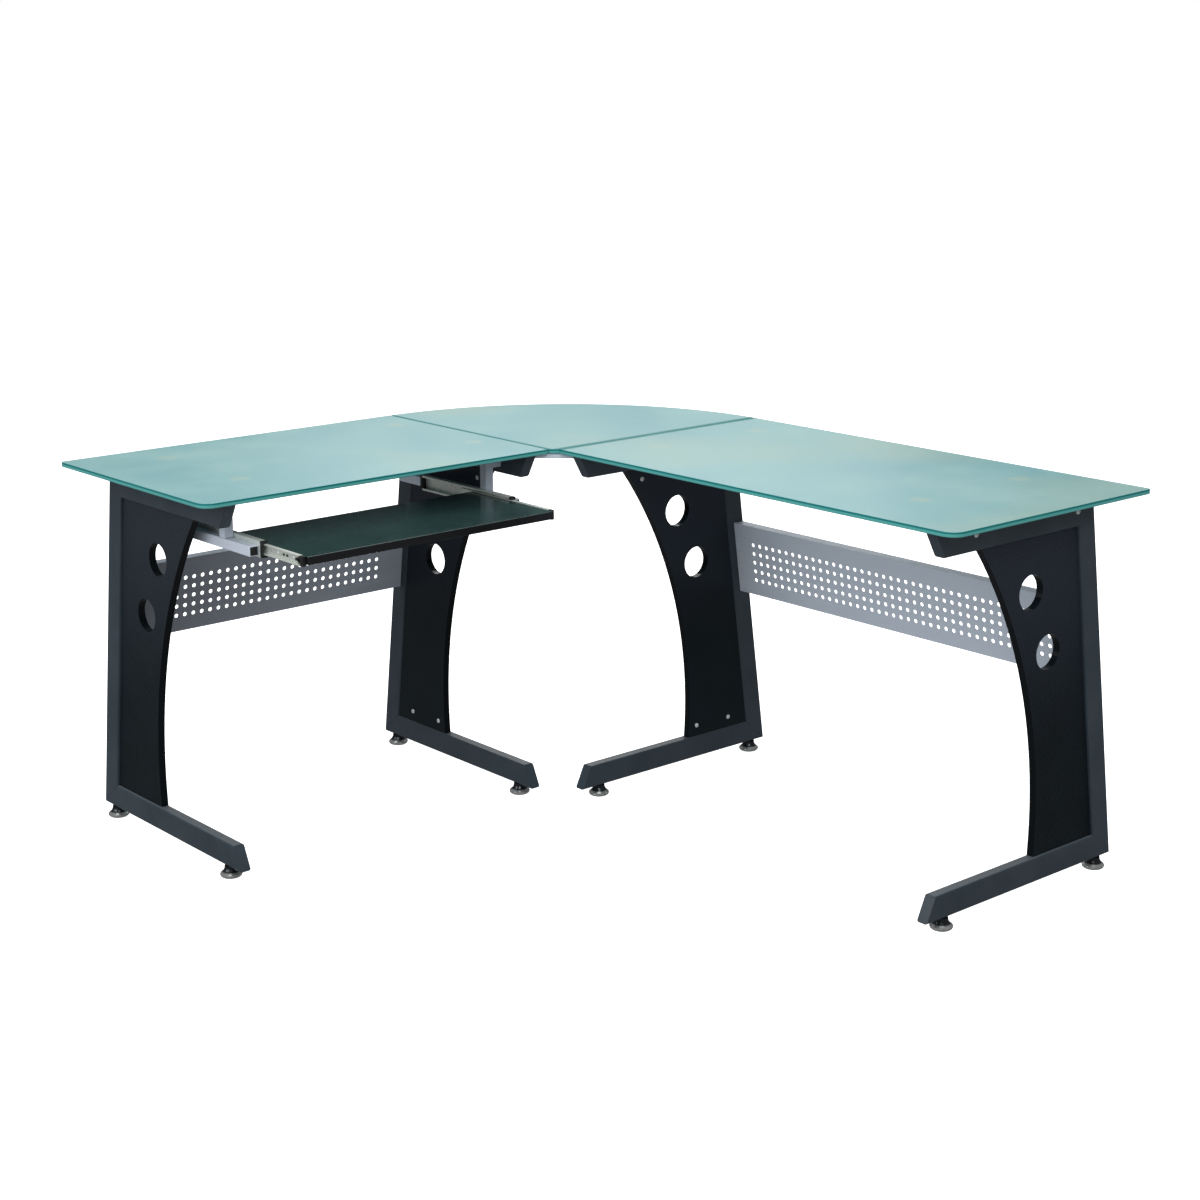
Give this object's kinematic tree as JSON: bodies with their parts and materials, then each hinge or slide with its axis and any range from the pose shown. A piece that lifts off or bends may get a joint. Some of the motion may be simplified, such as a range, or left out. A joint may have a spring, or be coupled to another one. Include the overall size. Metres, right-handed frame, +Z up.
{
  "type": "corner computer desk",
  "caption": "L-shaped glass-topped computer desk on slanted leg frames, with perforated back panels and a pull-out keyboard tray on ball-bearing slides.",
  "frame": {"origin": "on the floor under the middle of the bounding box", "axes": "+Z up; the short wing with the tray runs along X with its rear edge towards +Y; the long wing runs along Y with its rear edge towards +X"},
  "size_m": [1.386, 1.626, 0.754],
  "materials": {
    "frosted_glass": "frosted underside, pale aqua",
    "graphite_powder_coat": "satin graphite powder coat",
    "black_panel": "black foil on board, fine leather-like grain",
    "silver_sheet": "satin silver",
    "chrome": "polished",
    "glass_pad": "matte",
    "tray_laminate": "satin dark laminate with a black edge band",
    "zinc_slide": "zinc plated",
    "ball_cage": "plain steel",
    "black_plastic": "moulded"
  },
  "bodies": {
    "desk_frame": {"glass_left": "frosted_glass", "glass_right": "frosted_glass", "glass_corner": "frosted_glass", "leg_a_top_bar": "graphite_powder_coat", "leg_a_post": "graphite_powder_coat", "leg_a_foot_bar": "graphite_powder_coat", "leg_a_panel": "black_panel", "leg_b_top_bar": "graphite_powder_coat", "leg_b_post": "graphite_powder_coat", "leg_b_foot_bar": "graphite_powder_coat", "leg_b_panel": "black_panel", "leg_c_top_bar": "graphite_powder_coat", "leg_c_post": "graphite_powder_coat", "leg_c_foot_bar": "graphite_powder_coat", "leg_c_panel": "black_panel", "leg_d_top_bar": "graphite_powder_coat", "leg_d_post": "graphite_powder_coat", "leg_d_foot_bar": "graphite_powder_coat", "leg_d_panel": "black_panel", "back_panel_left": "silver_sheet", "rail_left_rear": "graphite_powder_coat", "pad_left_rear_inner": "glass_pad", "pad_left_rear_outer": "glass_pad", "rail_left_front": "graphite_powder_coat", "pad_left_front_inner": "glass_pad", "pad_left_front_outer": "glass_pad", "back_panel_right": "silver_sheet", "rail_right_rear": "graphite_powder_coat", "pad_right_rear_inner": "glass_pad", "pad_right_rear_outer": "glass_pad", "rail_right_front": "graphite_powder_coat", "pad_right_front_inner": "glass_pad", "pad_right_front_outer": "glass_pad", "corner_plate": "silver_sheet", "corner_tab_left": "silver_sheet", "corner_tab_right": "silver_sheet", "slide_channel_left": "zinc_slide", "tray_tube_left": "silver_sheet", "hanger_left_front": "silver_sheet", "hanger_left_rear": "silver_sheet", "slide_channel_right": "zinc_slide", "tray_tube_right": "silver_sheet", "hanger_right_front": "silver_sheet", "hanger_right_rear": "silver_sheet"},
    "glide_a_rear": {"leg_a_glide_rear": "chrome"},
    "glide_a_front": {"leg_a_glide_front": "chrome"},
    "glide_b_rear": {"leg_b_glide_rear": "chrome"},
    "glide_b_front": {"leg_b_glide_front": "chrome"},
    "glide_c_rear": {"leg_c_glide_rear": "chrome"},
    "glide_c_front": {"leg_c_glide_front": "chrome"},
    "glide_d_rear": {"leg_d_glide_rear": "chrome"},
    "glide_d_front": {"leg_d_glide_front": "chrome"},
    "keyboard_tray": {"tray_board": "tray_laminate", "tray_member_left": "zinc_slide", "tray_member_cap_left": "black_plastic", "tray_member_right": "zinc_slide", "tray_member_cap_right": "black_plastic"},
    "cage_left": {"ball_cage_left": "ball_cage"},
    "cage_right": {"ball_cage_right": "ball_cage"}
  },
  "joints": [
    {"name": "tray_slide", "type": "slide", "parent": "desk_frame", "child": "keyboard_tray", "axis": [0, -1, 0], "range_m": [-0.137, 0.088]},
    {"name": "cage_right_slide", "type": "slide", "parent": "desk_frame", "child": "cage_right", "axis": [0, -1, 0], "range_m": [-0.0685, 0.044]},
    {"name": "cage_left_slide", "type": "slide", "parent": "desk_frame", "child": "cage_left", "axis": [0, -1, 0], "range_m": [-0.0685, 0.044]},
    {"name": "glide_a_rear_screw", "type": "slide", "parent": "desk_frame", "child": "glide_a_rear", "axis": [0, 0, -1], "range_m": [0, 0.01]},
    {"name": "glide_a_front_screw", "type": "slide", "parent": "desk_frame", "child": "glide_a_front", "axis": [0, 0, -1], "range_m": [0, 0.01]},
    {"name": "glide_b_rear_screw", "type": "slide", "parent": "desk_frame", "child": "glide_b_rear", "axis": [0, 0, -1], "range_m": [0, 0.01]},
    {"name": "glide_b_front_screw", "type": "slide", "parent": "desk_frame", "child": "glide_b_front", "axis": [0, 0, -1], "range_m": [0, 0.01]},
    {"name": "glide_c_rear_screw", "type": "slide", "parent": "desk_frame", "child": "glide_c_rear", "axis": [0, 0, -1], "range_m": [0, 0.01]},
    {"name": "glide_c_front_screw", "type": "slide", "parent": "desk_frame", "child": "glide_c_front", "axis": [0, 0, -1], "range_m": [0, 0.01]},
    {"name": "glide_d_rear_screw", "type": "slide", "parent": "desk_frame", "child": "glide_d_rear", "axis": [0, 0, -1], "range_m": [0, 0.01]},
    {"name": "glide_d_front_screw", "type": "slide", "parent": "desk_frame", "child": "glide_d_front", "axis": [0, 0, -1], "range_m": [0, 0.01]}
  ],
  "couplings": [
    {"joint": "cage_left_slide", "follows": "tray_slide", "ratio": 0.5},
    {"joint": "cage_right_slide", "follows": "tray_slide", "ratio": 0.5}
  ]
}
